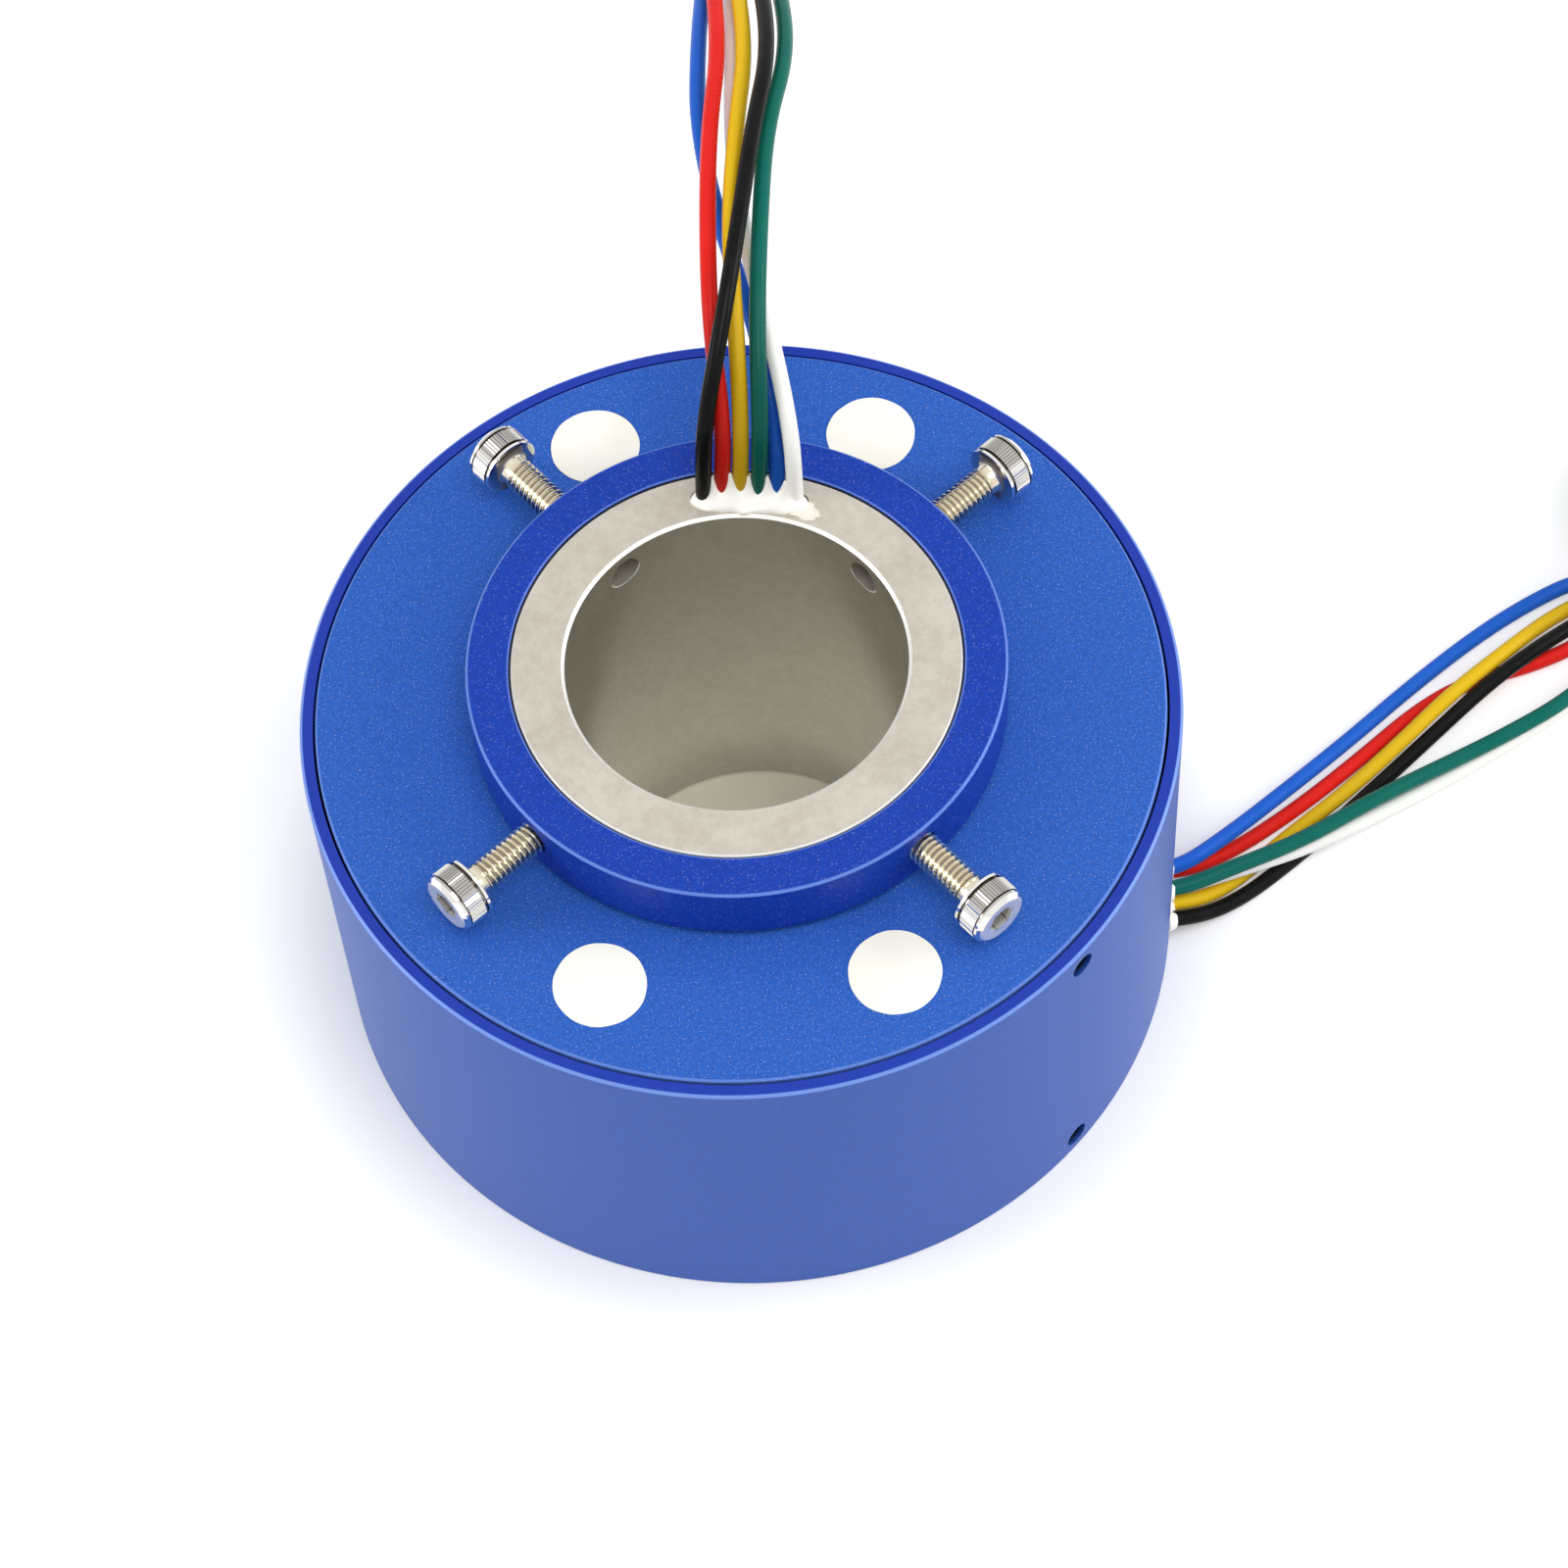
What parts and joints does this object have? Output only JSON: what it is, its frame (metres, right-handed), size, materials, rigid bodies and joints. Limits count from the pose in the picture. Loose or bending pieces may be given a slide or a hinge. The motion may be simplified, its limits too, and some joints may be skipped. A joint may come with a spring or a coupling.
{
  "type": "slip ring",
  "caption": "Through-bore slip ring: a round metal housing around a hollow turning sleeve, with a collar, clamp screws and bundles of coloured leads.",
  "frame": {"origin": "on the axis of the bore, in the plane of the housing's foot", "axes": "+Z along the bore axis towards the collar, +X towards the side where the fixed leads leave the housing, -Y towards the viewer of the picture"},
  "size_m": [0.1851, 0.2321, 0.0812],
  "materials": {
    "shell_anodised": "satin blue anodised, turned",
    "plate_anodised": "bead blasted, blue anodised",
    "collar_anodised": "turned, deep blue anodised",
    "sleeve_metal": "turned, natural",
    "bearing_steel": "ground and polished",
    "bearing_cage": "moulded nylon",
    "spacer_metal": "turned",
    "spring_steel": "black phosphated",
    "nickel_screw": "bright nickel plated",
    "black_screw": "black oxide",
    "barrel_insulation": "moulded, glass filled",
    "ring_brass": "gold plated, fine turned",
    "tinned_copper": "tinned copper",
    "spring_wire": "drawn precious alloy wire",
    "circuit_board": "glass laminate with green mask",
    "holder_insulation": "machined phenolic",
    "sticker": "ivory paper disc",
    "sealant": "cured white silicone",
    "lead_black": "extruded insulation",
    "lead_red": "extruded insulation",
    "lead_yellow": "extruded insulation",
    "lead_green": "extruded insulation",
    "lead_blue": "extruded insulation",
    "lead_white": "extruded insulation",
    "lead_bundle": "coiled insulated leads"
  },
  "bodies": {
    "housing": {"housing_shell": "shell_anodised", "top_end_plate": "plate_anodised", "bottom_end_plate": "plate_anodised", "top_bearing_outer_ring": "bearing_steel", "bottom_bearing_outer_ring": "bearing_steel", "top_plate_screws": "black_screw", "bottom_plate_screws": "black_screw", "plate_set_screws": "black_screw", "stator_lead_sealant": "sealant", "rear_brush_holder": "holder_insulation", "front_brush_holder": "holder_insulation", "rear_brush_board": "circuit_board", "front_brush_board": "circuit_board", "rear_brush_wires": "spring_wire", "front_brush_wires": "spring_wire", "cover_stickers": "sticker", "stator_lead_coil": "lead_bundle", "stator_lead_black": "lead_black", "stator_lead_red": "lead_red", "stator_lead_yellow": "lead_yellow", "stator_lead_green": "lead_green", "stator_lead_blue": "lead_blue", "stator_lead_white": "lead_white"},
    "rotor": {"rotor_sleeve": "sleeve_metal", "locking_collar": "collar_anodised", "clamp_screws": "nickel_screw", "bearing_spacer": "spacer_metal", "snap_ring": "spring_steel", "insulating_barrel": "barrel_insulation", "rotor_wire_tails": "tinned_copper", "rotor_lead_sealant": "sealant", "rotor_lead_coil": "lead_bundle", "top_bearing_inner_ring": "bearing_steel", "bottom_bearing_inner_ring": "bearing_steel", "contact_ring_1": "ring_brass", "contact_ring_2": "ring_brass", "contact_ring_3": "ring_brass", "contact_ring_4": "ring_brass", "contact_ring_5": "ring_brass", "contact_ring_6": "ring_brass", "rotor_lead_black": "lead_black", "rotor_lead_red": "lead_red", "rotor_lead_yellow": "lead_yellow", "rotor_lead_green": "lead_green", "rotor_lead_blue": "lead_blue", "rotor_lead_white": "lead_white"},
    "top_ball_set": {"top_bearing_balls": "bearing_steel", "top_bearing_cage": "bearing_cage"},
    "bottom_ball_set": {"bottom_bearing_balls": "bearing_steel", "bottom_bearing_cage": "bearing_cage"}
  },
  "joints": [
    {"name": "rotor_spin", "type": "hinge", "parent": "housing", "child": "rotor", "pos_m": [0, 0, 0.02415], "axis": [0, 0, 1], "continuous": true},
    {"name": "top_balls_orbit", "type": "hinge", "parent": "housing", "child": "top_ball_set", "pos_m": [0, 0, 0.02415], "axis": [0, 0, 1], "continuous": true},
    {"name": "bottom_balls_orbit", "type": "hinge", "parent": "housing", "child": "bottom_ball_set", "pos_m": [0, 0, 0.02415], "axis": [0, 0, 1], "continuous": true}
  ],
  "couplings": [
    {"joint": "top_balls_orbit", "follows": "rotor_spin", "ratio": 0.4652},
    {"joint": "bottom_balls_orbit", "follows": "rotor_spin", "ratio": 0.4652}
  ]
}
